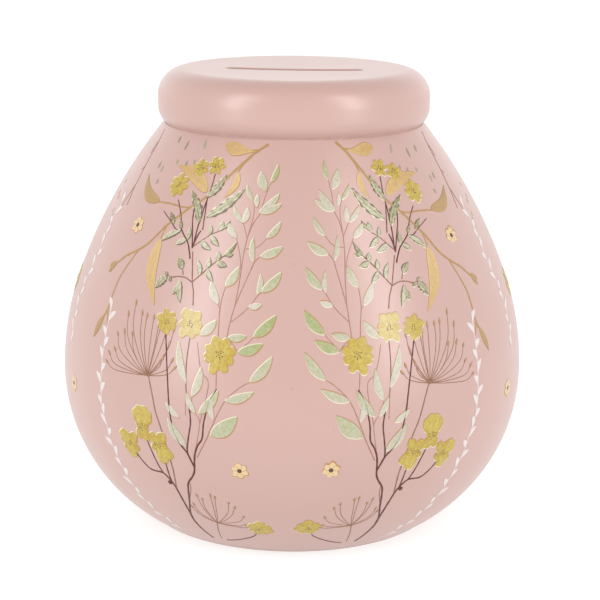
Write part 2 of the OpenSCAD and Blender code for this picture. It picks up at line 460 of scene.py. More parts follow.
# a flanged cup with sealing ribs, open below, and a bar across it to pull it out by
def makeStopper():
    s = stopper
    low, top = stopperLow.z, stopperHigh.z
    ceiling = top - s["wall"]
    shelf = low + s["flangeThick"]
    cup = s["core"] - s["wall"]
    corners = [(0, top, 0), (s["core"] - s["nose"], top, 0.4)]
    corners += [(s["core"], top - s["nose"], 0.3)]
    for i in (2, 1, 0):
        ribLow = shelf + s["ribLow"] + i * s["ribPitch"]
        corners += [(s["core"], ribLow + s["ribHeight"], 0),
                    (s["rib"], ribLow + s["ribHeight"] * 0.75, 0.2),
                    (s["rib"], ribLow + s["ribHeight"] * 0.25, 0.2), (s["core"], ribLow, 0)]
    corners += [(s["core"], shelf, 0.3), (s["flange"], shelf, 0.6), (s["flange"], low, 0.6),
                (cup, low, 0.6), (cup, ceiling, 1.2), (0, ceiling, 0)]
    rubber = rubberMaterial()
    plug = lathePiece("baseStopper", roundedOutline(corners, 4), rubber, s["columns"])
    finishPiece(plug, "stopper", "stopper_rubber", "base_stopper")
    half = s["barWidth"] / 2
    high = low + s["barHeight"]
    section = roundedOutline([(-half, low, 1.2), (half, low, 1.2), (half, high, 1), (-half, high, 1)])
    points, faces = [], []
    rows = s["barRows"]
    for k in range(rows):
        x = (2 * k / (rows - 1) - 1) * (cup + 0.4)
        waist = 1 - s["waist"] * (1 - (x / cup) ** 2)  # thinner in the middle, where the finger hooks it
        points += [(x * mm, y * waist * mm, z * mm) for y, z in section]
    count = len(section)
    for k in range(rows - 1):
        faces += band(k * count, (k + 1) * count, count)
    faces.append(list(range(count)))
    faces.append(list(range((rows - 1) * count, rows * count)))
    bar = meshObject("stopperPullBar", points, faces, rubber)
    finishPiece(bar, "stopper", "stopper_rubber")


makeStopper()
print("stopper moulded")

# The decoration is drawn flat: a point is an angle in degrees outward from the middle of a pair of
# sprays, a height in millimetres and a lift off the glaze. Each film holds one printed colour.
sink = 0.03  # how far a film's back lies under the glaze, so that no gap shows
films = {}


# adds points to a film, for its face and its back, and gives the first one's number and the faces
def addPoints(film, points):
    target = films.setdefault(film, dict(points=[], faces=[], tones=[]))
    start = len(target["points"])
    for under in (False, True):
        target["points"] += [(a, z, -sink if under else lift) for a, z, lift, tone in points]
        target["tones"] += [tone for a, z, lift, tone in points]
    return start, target["faces"]


# moves a point along the glaze by millimetres outward and up
def shifted(a, z, out, up):
    z = z + up * math.cos(wallTilt(z))
    return a + math.degrees(out / wallRadius(z)), z


# millimetres outward and up from one point to another
def between(start, end):
    middle = (start[1] + end[1]) / 2
    return (math.radians(end[0] - start[0]) * wallRadius(middle),
            (end[1] - start[1]) / math.cos(wallTilt(middle)))


# a closed thin sheet from rows of (angle, height, lift, tone)
def addSheet(film, rows):
    start, faces = addPoints(film, [point for row in rows for point in row])
    width = len(rows[0])
    size = len(rows) * width
    for r in range(len(rows) - 1):
        for c in range(width - 1):
            k = start + r * width + c
            faces.append([k, k + 1, k + width + 1, k + width])
            faces.append([k + size, k + size + width, k + size + width + 1, k + size + 1])
    rim = [start + c for c in range(width)]
    rim += [start + r * width + width - 1 for r in range(1, len(rows))]
    rim += [start + size - width + c for c in range(width - 2, -1, -1)]
    rim += [start + r * width for r in range(len(rows) - 2, 0, -1)]
    for here, there in zip(rim, rim[1:] + rim[:1]):
        faces.append([here, here + size, there + size, there])


# a closed round patch: rings of (angle, height, lift, tone) about a centre point
def addPatch(film, centre, rings):
    start, faces = addPoints(film, [centre] + [point for ring in rings for point in ring])
    width = len(rings[0])
    size = 1 + len(rings) * width
    for c in range(width):
        d = (c + 1) % width
        faces.append([start, start + 1 + c, start + 1 + d])
        faces.append([start + size, start + size + 1 + d, start + size + 1 + c])
        for r in range(len(rings) - 1):
            k, n = start + 1 + r * width, start + 1 + (r + 1) * width
            faces.append([k + c, n + c, n + d, k + d])
            faces.append([k + c + size, k + d + size, n + d + size, n + c + size])
        k = start + 1 + (len(rings) - 1) * width
        faces.append([k + c, k + c + size, k + d + size, k + d])


# a smooth line through given points, stepped evenly
def smoothLine(points, step=0.9):
    if len(points) == 2:
        a, b = points
        points = [a, ((a[0] + b[0]) / 2, (a[1] + b[1]) / 2), b]
    ends = [points[0]] + list(points) + [points[-1]]
    line = []
    for i in range(1, len(ends) - 2):
        p0, p1, p2, p3 = (Vector(ends[i + k]) for k in (-1, 0, 1, 2))
        run = between(p1, p2)
        steps = max(2, math.ceil(math.hypot(*run) / step))
        for k in range(steps):
            t = k / steps
            line.append(0.5 * (2 * p1 + (p2 - p0) * t + (2 * p0 - 5 * p1 + 4 * p2 - p3) * t * t
                               + (3 * p1 - p0 - 3 * p2 + p3) * t ** 3))
    line.append(Vector(points[-1]))
    return line


# a stem: a low ridge that thins from one width to the other
def addStem(film, points, widths, lift=0.1, tone=0.5):
    line = smoothLine(points)
    rows = []
    for i, here in enumerate(line):
        before, after = line[max(0, i - 1)], line[min(len(line) - 1, i + 1)]
        out, up = between(before, after)
        length = math.hypot(out, up) or 1
        share = i / (len(line) - 1)
        half = (widths[0] + (widths[1] - widths[0]) * share) / 2
        half *= 1 + 0.12 * math.sin(i * 1.7)
        row = []
        for side in (-1, 0, 1):
            place = shifted(*here, -side * half * up / length, side * half * out / length)
            row.append((*place, lift if side == 0 else lift * 0.35, tone))
        rows.append(row)
    addSheet(film, rows)


# how wide a leaf is along its length, as a share of its greatest width
def leafWidth(t, belly):
    return max(0.02, math.sin(math.pi * t ** belly) ** 0.85)


# a pointed leaf from stalk to tip, with a curved midrib and its widest place set by belly
def addLeaf(film, stalk, tip, width, lift, tone, bend=0, belly=0.85, wave=0, offset=(0, 0), rows=10):
    out, up = between(stalk, tip)
    length = math.hypot(out, up)
    along, across = (out / length, up / length), (-up / length, out / length)
    sheet = []
    for i in range(rows + 1):
        t = i / rows
        sway = bend * math.sin(math.pi * t) * length
        half = width / 2 * leafWidth(t, belly) * (1 + wave * math.sin(i * 2.4 + width * 5))
        row = []
        for side in (-1, -0.5, 0, 0.5, 1):
            place = sway + half * side
            x = along[0] * t * length + across[0] * place + offset[0]
            y = along[1] * t * length + across[1] * place + offset[1]
            shade = tone + 0.18 * (t - 0.5) - 0.1 * abs(side)
            row.append((*shifted(*stalk, x, y), lift * (1 - 0.25 * side * side), shade))
        sheet.append(row)
    addSheet(film, sheet)


# each print has a cream edge on its outer top side and a gold-brown one opposite: millimetres out
# and up to each, and how high each colour stands off the glaze
creamEdge = (0.22, 0.2)
brownEdge = (-0.2, -0.24)
leafLift = dict(brown=0.05, cream=0.07, colour=0.12)
flowerLift = dict(brown=0.06, cream=0.09, colour=0.16)


# how far a flower reaches in a direction: each petal is an oval with its inner end near the centre,
# given as its direction, length and half spread
def petalReach(direction, petals):
    reach = 0.3 * max(petal[1] for petal in petals)
    for heading, length, spread in petals:
        off = math.radians((direction - heading + 180) % 360 - 180)
        middle, half = 0.52 * length, 0.48 * length
        side = 0.6 * length * math.sin(math.radians(spread))
        square = (math.cos(off) / half) ** 2 + (math.sin(off) / side) ** 2
        ahead = middle * math.cos(off) / half ** 2
        inside = ahead ** 2 - square * ((middle / half) ** 2 - 1)
        if ahead > 0 and inside > 0:
            ruffle = 1 + 0.03 * math.cos(off * 14 + heading)
            reach = max(reach, ruffle * (ahead + math.sqrt(inside)) / square)
    return reach


def addFlower(film, centre, petals, lift, tone, offset=(0, 0), seed=1):
    columns = 72
    draw = random.Random(seed)
    streaks = [draw.uniform(-0.16, 0.16) for i in range(columns)]
    greatest = max(petal[1] for petal in petals)
    rings = []
    for share in (0.18, 0.42, 0.66, 0.85, 1):
        ring = []
        for i in range(columns):
            direction = 360 * i / columns
            reach = petalReach(direction, petals)
            x = math.cos(math.radians(direction)) * reach * share + offset[0]
            y = math.sin(math.radians(direction)) * reach * share + offset[1]
            fold = 0.5 * (1 - reach / greatest)
            shade = tone + streaks[i] * math.sin(math.pi * share) + fold * min(1, share * 1.6)
            ring.append((*shifted(*centre, x, y), lift * (1 - 0.35 * share ** 4), shade))
        rings.append(ring)
    addPatch(film, (*shifted(*centre, *offset), lift * 0.85, tone + 0.1), rings)


def addDot(film, centre, radius, lift, tone=0.5):
    rings = []
    for share, height in ((0.6, 0.9), (1, 0.5)):
        ring = []
        for i in range(10):
            angle = 2 * math.pi * i / 10
            place = shifted(*centre, math.cos(angle) * radius * share, math.sin(angle) * radius * share)
            ring.append((*place, lift * height, tone))
        rings.append(ring)
    addPatch(film, (*centre, lift, tone), rings)


def addEdgedFlower(fill, centre, petals, tone, seed, dots=8, dotSpread=1.1):
    addFlower("brownEdges", centre, petals, flowerLift["brown"], 0.5, brownEdge, seed)
    addFlower("creamEdges", centre, petals, flowerLift["cream"], 0.5, creamEdge, seed)
    addFlower(fill, centre, petals, flowerLift["colour"], tone, (0, 0), seed)
    draw = random.Random(seed + 50)
    for i in range(dots):
        angle = 2.4 * i + draw.uniform(-0.3, 0.3)
        far = dotSpread * math.sqrt((i + 0.6) / dots)
        place = shifted(*centre, far * math.cos(angle), far * math.sin(angle))
        addDot("darkDots", place, draw.uniform(0.18, 0.27), 0.24)


# sage leaves: stalk, tip, width, tone
sageLeafList = [
    ((6.7, 118.8), (4.7, 123.6), 1.3, 0.75), ((8.4, 116.3), (10.3, 121.6), 2.6, 0.35),
    ((11.8, 113.5), (14.6, 117.8), 1.2, 0.5), ((10.5, 112), (10.6, 115.4), 1.3, 0.1),
    ((9.5, 110.5), (3.8, 115.7), 2.1, 0.3), ((9, 110.3), (2.8, 113.2), 1.7, 0.35),
    ((14.2, 107.6), (17.8, 112.2), 1.4, 0.3), ((14, 107.6), (13.2, 111.7), 1.7, 0.1),
    ((6.6, 103.7), (2.8, 108.2), 1.7, 0.4), ((15.4, 103.4), (18.8, 107.6), 1.9, 0.15),
    ((9.8, 97), (10.4, 103.6), 1.5, 0.35), ((8, 98.6), (2, 101.5), 2.5, 0.4),
    ((16.5, 90), (13.6, 95.6), 2.5, 0.4), ((7, 89), (2.2, 94.6), 2.5, 0.5),
    ((8, 88.3), (7.5, 94), 1.4, 0.3), ((17.9, 85), (20.5, 91.2), 2.4, 0.1),
    ((10, 84.8), (6.8, 85.7), 1.7, 0.05), ((8.3, 76.6), (3.2, 82.8), 2.9, 0.85),
    ((14.4, 76), (10, 76.8), 2.2, 0.45), ((21.5, 76), (17.8, 80.6), 2.6, 0.25),
    ((11.8, 72), (6, 74.8), 2.9, 0.8), ((8.7, 63.7), (3.8, 71.2), 2.8, 0.45),
    ((14.4, 57.7), (7.8, 60.9), 2.6, 0.4), ((17.1, 51.5), (17.9, 58.6), 1.6, 0.15),
    ((17.8, 46.6), (11.5, 53.2), 4.4, 0.55), ((20.6, 53), (16, 60.7), 2.7, 0.5),
    ((22.4, 58), (20.4, 67), 2.4, 0.25), ((21.6, 53.1), (23.8, 58.8), 1.8, 0.2),
    ((24, 61.5), (26.8, 73.5), 2.3, 0.2), ((25.6, 51), (29.2, 54.8), 1.9, 0.05),
    ((24, 42), (28.6, 50.3), 3, 0.3),
]

# sage stems: points from root to end, and the width at each end
sageStemList = [
    ([(21.5, 39), (19, 45), (17.3, 50), (14.5, 57.5), (11, 62), (8.7, 63.7)], (0.4, 0.28)),
    ([(16.6, 60), (16.7, 66), (17, 78), (17.3, 84), (16.9, 88), (16.5, 90)], (0.3, 0.22)),
    ([(17.2, 83.6), (17.9, 85)], (0.22, 0.2)),
    ([(14.8, 76), (14.3, 80.5), (13.5, 85), (12, 90), (10.5, 94.5), (9.6, 97), (8, 98.8)], (0.34, 0.22)),
    ([(14.3, 80.3), (11.5, 83), (9.5, 85.5), (8, 88), (7, 89)], (0.28, 0.2)),
    ([(13.6, 84.5), (13, 92), (12.7, 100), (12, 105), (11.2, 110), (11.7, 113.5)], (0.3, 0.2)),
    ([(12.1, 104.5), (10.8, 108), (9.3, 110.4), (8.2, 115), (6.7, 118.8)], (0.26, 0.18)),
    ([(13, 95), (13.8, 99), (15.4, 103.4)], (0.24, 0.18)), ([(12.3, 103.6), (14.1, 107.6)], (0.22, 0.18)),
    ([(12.5, 100.6), (9.5, 101), (7.6, 102.6), (6.6, 103.7)], (0.24, 0.18)),
    ([(10.2, 95.2), (9.8, 97)], (0.2, 0.18)), ([(11, 112), (10.5, 112.4)], (0.2, 0.18)),
    ([(11.8, 72), (13, 74), (14.4, 76)], (0.22, 0.2)), ([(8.3, 76.6), (9.5, 75), (10.5, 74)], (0.2, 0.22)),
    ([(20.4, 50), (18.5, 62), (20.5, 66), (22, 74)], (0.28, 0.2)),
    ([(21.8, 41), (20.4, 50), (21.5, 53)], (0.3, 0.2)),
    ([(24, 52), (24, 61.5)], (0.25, 0.2)), ([(22.4, 58), (22.6, 53)], (0.2, 0.22)),
]


def drawSage():
    for stalk, tip, width, tone in sageLeafList:
        bend = 0.06 if tip[0] < stalk[0] else -0.06
        addLeaf("brownEdges", stalk, tip, width * 1.04, leafLift["brown"], 0.5, bend, offset=brownEdge)
        addLeaf("creamEdges", stalk, tip, width, leafLift["cream"], 0.5, bend, offset=creamEdge)
        addLeaf("sageLeaves", stalk, tip, width, leafLift["colour"], tone, bend)
    for points, widths in sageStemList:
        addStem("pinkStems", points, widths, 0.08)


# yellow flowers: centre, petals as (direction, length, half spread), tone; 0 degrees points outward
yellowFlowerList = [
    ((16.2, 71), [(70, 5.6, 34), (115, 5.3, 30), (25, 5, 32), (160, 5, 30), (-25, 4.8, 30), (205, 4.7, 32),
                  (248, 5.6, 24), (292, 6.4, 22), (270, 4.2, 20), (-5, 4.9, 22)], 0.45),
    ((31.1, 78.5), [(75, 3.9, 32), (125, 3.6, 28), (20, 4, 32), (-30, 3.5, 30), (205, 3.7, 34),
                    (265, 3.9, 32), (-60, 3.4, 28), (165, 3.4, 28)], 0.5),
    ((40.7, 116), [(80, 3.9, 30), (130, 3.6, 30), (30, 3.8, 30), (-15, 3.6, 28), (185, 3.5, 30),
                   (235, 3.6, 30), (285, 4, 26), (-50, 3.5, 26)], 0.45),
    ((34.3, 121.3), [(75, 3.2, 28), (130, 2.9, 30), (15, 3.2, 26), (195, 2.8, 30), (255, 3.1, 28),
                     (-45, 2.8, 28)], 0.5),
    ((28, 122.3), [(60, 3.3, 30), (115, 3, 28), (10, 2.8, 28), (175, 2.9, 30), (240, 2.8, 28),
                   (-55, 2.9, 30)], 0.5),
    ((40.5, 39.2), [(40, 5.4, 46), (122, 4.4, 42), (-90, 4.8, 42), (-40, 3.8, 38), (205, 3.6, 36)], 0.5),
    ((36.2, 45.8), [(92, 6.6, 75), (-66, 4.3, 36), (-118, 4.7, 34), (20, 2.4, 50), (160, 2.4, 50)], 0.45),
    ((31.8, 41), [(119, 4.8, 36), (53, 4.5, 38), (-104, 6.3, 32), (-142, 6, 30), (180, 3.2, 36),
                  (-33, 3, 40)], 0.45),
    ((8, 13.8), [(95, 4.4, 40), (35, 4, 44), (155, 3.8, 40), (195, 4.2, 36), (-60, 3.4, 44),
                 (-10, 3.4, 36), (235, 3.4, 40)], 0.5),
    ((83.4, 79.9), [(80, 4.8, 34), (132, 4.4, 32), (30, 4.4, 34), (-22, 4.2, 32), (188, 4.6, 34),
                    (238, 4.8, 30), (-72, 4.4, 30)], 0.6),
]
paleFlower = ((24.5, 78.8), [(55, 5, 34), (125, 4.6, 34), (-5, 3.8, 30), (180, 3.9, 32), (215, 4.3, 30),
                             (250, 4.3, 26), (-55, 5, 26), (90, 4.2, 26), (-85, 3.6, 26)], 0.4)
creamFlowerList = [(51.8, 103), (11.3, 36), (66, 50.5)]


def drawYellow():
    for i, (centre, petals, tone) in enumerate(yellowFlowerList):
        dots, dotSpread = (10, 1.4) if max(petal[1] for petal in petals) > 5.5 else (7, 1)
        addEdgedFlower("yellowPetals", centre, petals, tone, i + 1, dots, dotSpread)
    centre, petals, tone = paleFlower
    addEdgedFlower("palePetals", centre, petals, tone, 20)


def addCreamFlower(centre):
    petals = [(20 + 60 * i, 2.75 + 0.15 * (i % 2), 36) for i in range(6)]
    addFlower("brownEdges", centre, petals, 0.06, 0.5, (-0.08, -0.1))
    addFlower("creamPetals", centre, [(d, l - 0.22, w) for d, l, w in petals], 0.12, 0.4)
    addDot("darkDots", centre, 0.8, 0.22)
    for i in range(6):
        place = shifted(*centre, 1.3 * math.cos(i * 1.05), 1.3 * math.sin(i * 1.05))
        addDot("darkDots", place, 0.15, 0.18)


def drawCream():
    for centre in creamFlowerList:
        addCreamFlower(centre)


# gold branch: points from root to end, and the width at each end
goldStemList = [
    ([(9.3, 129), (13.7, 126.8), (16.2, 125), (20, 121.8), (24, 117.8), (28.5, 113.5), (33, 110.4),
      (36.5, 107.3), (40, 104), (44, 99), (47.5, 96.3), (51.5, 94), (54, 91.8), (55.5, 90.8)], (0.9, 0.75)),
    ([(47.2, 96.4), (49.6, 91.5), (51.4, 87), (52, 82), (52.3, 78.4), (53, 76)], (0.55, 0.7)),
    ([(52.4, 78.5), (51.8, 76), (51.2, 73.8)], (0.7, 0.4)),
    ([(32.8, 110.5), (36, 110.2), (41, 110.6), (47, 110.5)], (0.5, 0.55)),
    ([(15.5, 125.3), (18, 123), (19, 121), (19.3, 119)], (0.6, 0.4)),
    ([(39.3, 104.4), (39.9, 102), (40, 99.5)], (0.5, 0.5)),
    ([(13.4, 127.2), (16.5, 127.1), (19, 127)], (0.8, 0.6)),
    ([(28, 114.7), (26.5, 115), (24.5, 116.8)], (0.5, 0.4)),
]
# gold leaves: stalk, tip, width, tone, bend, belly
goldLeafList = [
    ((13.7, 127), (27.4, 128.2), 4.6, 0.35, -0.06, 1.8), ((18.8, 121.3), (22, 114), 2.2, 0.2, -0.12, 0.8),
    ((40.2, 101), (35.7, 82), 4.2, 0.2, 0.1, 0.72), ((46.5, 110.6), (59, 116.8), 3.8, 0.75, -0.17, 0.7),
    ((28.6, 115.2), (44.5, 121), 4.4, 0.3, 0.1, 0.7), ((53, 76.5), (56.3, 68.4), 2.2, 0.75, 0.02, 1.1),
    ((55, 91.4), (57.8, 90), 1.9, 0.8, -0.1, 0.9), ((55, 91), (57.2, 88), 1.9, 0.8, 0.12, 0.9),
]


def drawGold():
    for points, widths in goldStemList:
        addStem("goldBranch", points, widths, 0.1, 0.6)
    for stalk, tip, width, tone, bend, belly in goldLeafList:
        addLeaf("goldEdges", stalk, tip, width, 0.06, 0.5, bend, belly, 0, (-0.14, -0.2), 16)
        addLeaf("goldLeaves", stalk, tip, width, 0.12, tone, bend, belly, 0, (0, 0), 16)


# dark woody stems of the yellow flowers, from the root up
darkStemList = [
    ([(25.8, 6), (27, 9.5), (27.9, 13.5), (27.8, 17.5)], (0.7, 0.75)),
    ([(27.8, 17), (26.4, 22), (25.6, 26.5), (25, 29.5), (23.5, 32), (22.7, 34), (22.5, 36)], (0.55, 0.6)),
    ([(22.5, 35.6), (22, 40), (21.1, 43), (19.9, 45.5), (19.5, 50), (19, 53), (18.2, 57), (16.4, 61)],
     (0.6, 0.34)),
    ([(22.5, 35.6), (23.5, 38.5), (23.9, 41), (23.3, 45.5), (22.7, 50), (23, 54)], (0.5, 0.4)),
    ([(22.6, 35.8), (24, 40), (26, 43.3), (27.4, 47.5), (28.3, 54), (29, 62), (30, 70), (31, 76)],
     (0.55, 0.36)),
    ([(26, 43.2), (26.2, 44.8)], (0.5, 0.3)),
    ([(27.8, 17), (28.3, 22), (29.2, 27), (30.3, 29.5), (32, 31.4), (35.3, 31.6), (37.5, 33.6),
      (39.4, 36.6)], (0.7, 0.45)),
    ([(31.8, 31.3), (33, 34.5), (34.8, 41), (35.4, 43)], (0.5, 0.36)),
    ([(29.9, 28.8), (30.2, 32), (30.6, 37.5)], (0.5, 0.36)),
    ([(9.1, 12), (10.3, 10), (14, 8), (18, 6.5), (20.6, 6)], (0.35, 0.5)),
    ([(28.2, 96.6), (28.9, 98.4), (30.3, 101), (33.5, 104.2), (35.6, 108.3), (38.6, 112)], (0.45, 0.26)),
    ([(28.3, 99.5), (29.6, 104), (30.8, 107.5), (31.5, 111)], (0.4, 0.3)),
    ([(28.2, 99.8), (28.2, 106.5), (27.7, 113), (27.4, 116), (27.6, 120.2)], (0.42, 0.28)),
    ([(28.4, 100), (27.5, 103.3), (26.9, 104.5)], (0.6, 0.4)),
    ([(26.4, 104.8), (27, 109), (27.7, 113.3)], (0.3, 0.26)),
    ([(33.3, 104), (35.5, 104), (38.5, 106), (42.8, 108.3)], (0.36, 0.22)),
    ([(33.7, 117.8), (34, 120)], (0.3, 0.28)),
]
brownStemList = [
    ([(29, 26), (28.6, 33), (29.1, 38), (29.6, 41.5), (30.6, 46.5), (32, 51.3), (33.2, 57), (34.4, 61.8)],
     (0.45, 0.4)),
    ([(26.8, 21), (24.8, 27), (24.6, 30)], (0.3, 0.2)),
    ([(22.3, 6.5), (21.4, 10.5), (20.3, 14.6)], (0.32, 0.34)),
    ([(23, 54), (24, 60), (24.3, 68), (24.1, 75)], (0.36, 0.28)),
    ([(24.6, 84), (25.1, 87.5), (26, 90.3), (27, 95), (27.9, 98.6)], (0.36, 0.32)),
    ([(26.2, 90.2), (24, 92.6), (20.7, 96.2), (18, 98.6), (15.3, 102)], (0.36, 0.3)),
    ([(26.3, 90.4), (28.2, 91.3), (30.3, 91.4), (33, 90.9), (35, 92)], (0.4, 0.34)),
    ([(28.2, 100), (25.5, 102.2), (23.2, 103.9), (20, 105.5), (18.3, 107.8)], (0.34, 0.22)),
    ([(29.2, 92), (29.8, 94)], (0.3, 0.26)),
    ([(30.4, 101.2), (33.4, 104)], (0.3, 0.26)),
]


def drawStems():
    for points, widths in darkStemList:
        addStem("darkStems", points, widths, 0.13, 0.3)
    addDot("darkStems", (30.5, 28.3), 0.75, 0.2, 0.2)
    for points, widths in brownStemList:
        addStem("brownStems", points, widths, 0.1)


# olive leaves with dark ragged edges: stalk, tip, width, tone
oliveLeafList = [
    ((28, 106.6), (34.2, 115), 2.6, 0.6), ((26.3, 108.3), (15.8, 116.6), 2.8, 0.35),
    ((27.9, 113.6), (23.2, 120.2), 2.3, 0.45), ((33.6, 104), (39.6, 100.2), 1.7, 0.3),
    ((37, 105.3), (40, 108.5), 1.4, 0.7), ((33.8, 104.3), (35.3, 107), 1, 0.6),
    ((30.6, 101.6), (30.7, 105.2), 1.2, 0.5), ((31, 101.6), (33.9, 99.9), 1.5, 0.3),
    ((26, 101.8), (22.4, 99.6), 1.7, 0.3), ((23.8, 103.7), (23.9, 106.4), 1.1, 0.4),
    ((23.3, 103.6), (20.2, 100.8), 1.7, 0.4), ((21, 105), (20.4, 107.6), 1.8, 0.35),
    ((20, 105.6), (18.2, 108), 1, 0.6), ((24.2, 92.4), (25.6, 96.6), 1.4, 0.25),
    ((22.4, 94.5), (22.3, 97.6), 1.4, 0.3), ((22.4, 94.3), (20.2, 91), 1.5, 0.35),
    ((19.8, 96.8), (20, 99.4), 1.5, 0.4), ((20, 96.6), (16.9, 95.6), 1.8, 0.55),
    ((18.3, 98.2), (15.2, 102.2), 1.1, 0.7), ((17.6, 98.6), (15.6, 99), 1.2, 0.6),
    ((29.8, 93.6), (32, 96.6), 2, 0.6), ((34, 91), (36.9, 87.2), 2.4, 0.5),
    ((34, 91.2), (35.2, 92.3), 0.9, 0.7), ((29.7, 90.5), (28.3, 84.2), 1.9, 0.45),
    ((29.5, 89), (31, 86.2), 1.5, 0.6), ((33.2, 91), (32.4, 89.7), 0.9, 0.7),
]


def drawOlive():
    for stalk, tip, width, tone in oliveLeafList:
        large = width > 2
        wave = 0.2 if large else 0.08
        shape = (0.05, 0.8, wave)
        addLeaf("creamEdges", stalk, tip, width, 0.06, 0.3, *shape, (0.18, 0.16), 12)
        addLeaf("oliveOutlines", stalk, tip, width + 0.3, 0.08, 0.5, *shape, (-0.1, -0.12), 12)
        addLeaf("oliveLeaves", stalk, tip, width * 0.8, 0.13, tone, *shape, (0.06, 0.05), 12)
        if large:  # a dark midrib
            middle = ((stalk[0] + tip[0]) / 2, (stalk[1] + tip[1]) / 2)
            out, up = between(stalk, tip)
            middle = shifted(*middle, -0.05 * up, 0.05 * out)
            addStem("oliveOutlines", [stalk, middle, tip], (0.34, 0.24), 0.17)


# an umbel: rays from one hub, each bowing out and then up to a bud
umbelList = [
    dict(hub=(34.7, 62), width=0.24, bud=1.7, rays=[
        (48.6, 62.7), (47.9, 65.2), (46, 66.8), (46, 71.5), (43.7, 72.6), (43.7, 77.8), (41, 72.6),
        (42, 81.4), (39.1, 79), (37.4, 78.8), (35.2, 78.4), (32.4, 80.6), (33.4, 76.5), (30.6, 78),
        (31, 67.4), (29.6, 72), (28.4, 67.2), (27.6, 65.3), (28.8, 76)]),
    dict(hub=(20.2, 14.6), width=0.22, bud=1.2, rays=[
        (26.1, 20), (25.3, 21), (23.5, 24.8), (22.3, 23.7), (19.7, 25.6), (18.6, 25), (15.2, 23.6),
        (13.9, 21.9), (12.1, 18.3), (12.1, 15.1), (11.8, 14.1)]),
]


def drawUmbels():
    for umbel in umbelList:
        hub = umbel["hub"]
        for i, tip in enumerate(umbel["rays"]):
            out, up = between(hub, tip)
            wobble = 0.35 if i % 2 else -0.25
            bow = 0.16 * out  # a leaning ray runs out low before it turns up
            near = shifted(*hub, out * 0.36 + bow * 0.5, up * 0.3 - abs(out) * 0.05)
            far = shifted(*hub, out * 0.74 + bow * 0.7 + wobble * 0.5, up * 0.68 - abs(out) * 0.07)
            addStem("umbelRays", [hub, near, far, tip], (umbel["width"], umbel["width"] * 0.8), 0.09)
            out, up = between(far, tip)
            length = math.hypot(out, up)
            reach = umbel["bud"] * (1 if i % 3 else 0.75)
            end = shifted(*tip, out / length * reach, up / length * reach)
            start = shifted(*tip, -out / length * 0.3, -up / length * 0.3)
            addLeaf("umbelRays", start, end, 0.75, 0.1, 0.3, 0, 0.8, 0, (-0.06, -0.08), 6)
            addLeaf("budGold", start, end, 0.6, 0.14, 0.5, 0, 0.8, 0, (0, 0), 6)
        addDot("umbelRays", hub, umbel["width"] * 1.6, 0.13, 0.3)


# white sprig: a thin stem with short blunt leaves on alternate sides
sprigLine = [(50.9, 78.5), (50.8, 70), (50.8, 60), (50.7, 53), (50, 47), (49, 43), (48.6, 38), (47.4, 33),
             (46.8, 29), (46, 24), (45, 20), (43.6, 16), (41.8, 12.5), (39, 8.5), (36, 6)]
tallSprigLine = [(68.3, 107), (69, 103), (69, 98), (68.3, 92.6), (69.2, 87), (70.6, 81), (71, 74.3),
                 (70.8, 68), (70.4, 60)]
sprig = dict(leafEvery=4, leafLength=4.3, leafWidth=1.7, stemWidths=(0.42, 0.36))


def drawSprig(points):
    line = smoothLine(points, 1)
    addStem("whiteSprigs", points, sprig["stemWidths"], 0.09)
    for k, i in enumerate(range(1, len(line) - 2, sprig["leafEvery"])):
        here = line[i]
        out, up = between(line[i + 1], line[i - 1])  # towards the tip, which comes first
        length = math.hypot(out, up)
        side = 1 if k % 2 else -1
        lean = (0.52 + 0.12 * math.sin(k * 1.3)) * side
        x = (out * math.cos(lean) - up * math.sin(lean)) / length
        y = (out * math.sin(lean) + up * math.cos(lean)) / length
        size = sprig["leafLength"] + 0.6 * math.sin(k * 2.1)
        tip = shifted(*here, x * size, y * size)
        addLeaf("whiteSprigs", tuple(here), tip, sprig["leafWidth"], 0.12, 0.5, -0.1 * side, 1.3,
                rows=8)


# short strokes scattered over the shoulder, like falling rain: angle, height, length, slant
dashList = [
    (36.5, 126.4, 3.4, 0.9), (37.5, 121.4, 2.4, 0.9), (46.3, 125.2, 3.6, 0.2), (46.6, 121.2, 1.8, 0.5),
    (41.6, 120.6, 2.6, 0.3), (55.8, 118.9, 2.6, 0.3), (53.2, 118.2, 2.6, 0.2), (52.4, 114.9, 1.8, -0.4),
    (52.4, 126.8, 2.6, 0.7), (77.5, 111.6, 1.6, 0.4), (77.1, 108, 1.6, 0.3), (74.8, 106.8, 1.6, 0.5),
    (72.7, 103.1, 1.6, 0.4), (71.2, 101.8, 1.4, 0.2), (70.4, 100.1, 1.6, 0.4),
]
twigList = [
    ([(71.5, 129.2), (69, 126.5), (67.2, 123), (66, 118), (65, 114), (65, 111.5)], (0.35, 0.4)),
    ([(65, 113), (66, 109.5), (67, 106)], (0.5, 0.25)),
    ([(65, 112.5), (64, 109.5), (63.4, 107)], (0.5, 0.3)),
    ([(68.6, 125.8), (68.8, 124), (68.3, 122)], (0.55, 0.35)), ([(66, 118.5), (67.3, 117.2)], (0.3, 0.2)),
]


def drawShoulder():
    for i, (a, z, length, slant) in enumerate(dashList):
        end = shifted(a, z, slant, length)
        addLeaf("dashes", (a, z), end, 1, 0.07, 0.1 + 0.6 * (i % 3) / 2, 0, 1, 0, (0, 0), 5)
    for points, widths in twigList:
        addStem("brownStems", points, widths, 0.08)


drawSage()
drawYellow()
drawCream()
drawGold()
drawOlive()
drawStems()
drawUmbels()
drawSprig(sprigLine)
drawSprig(tallSprigLine)
drawShoulder()
print("sprays drawn:", len(films), "colours")

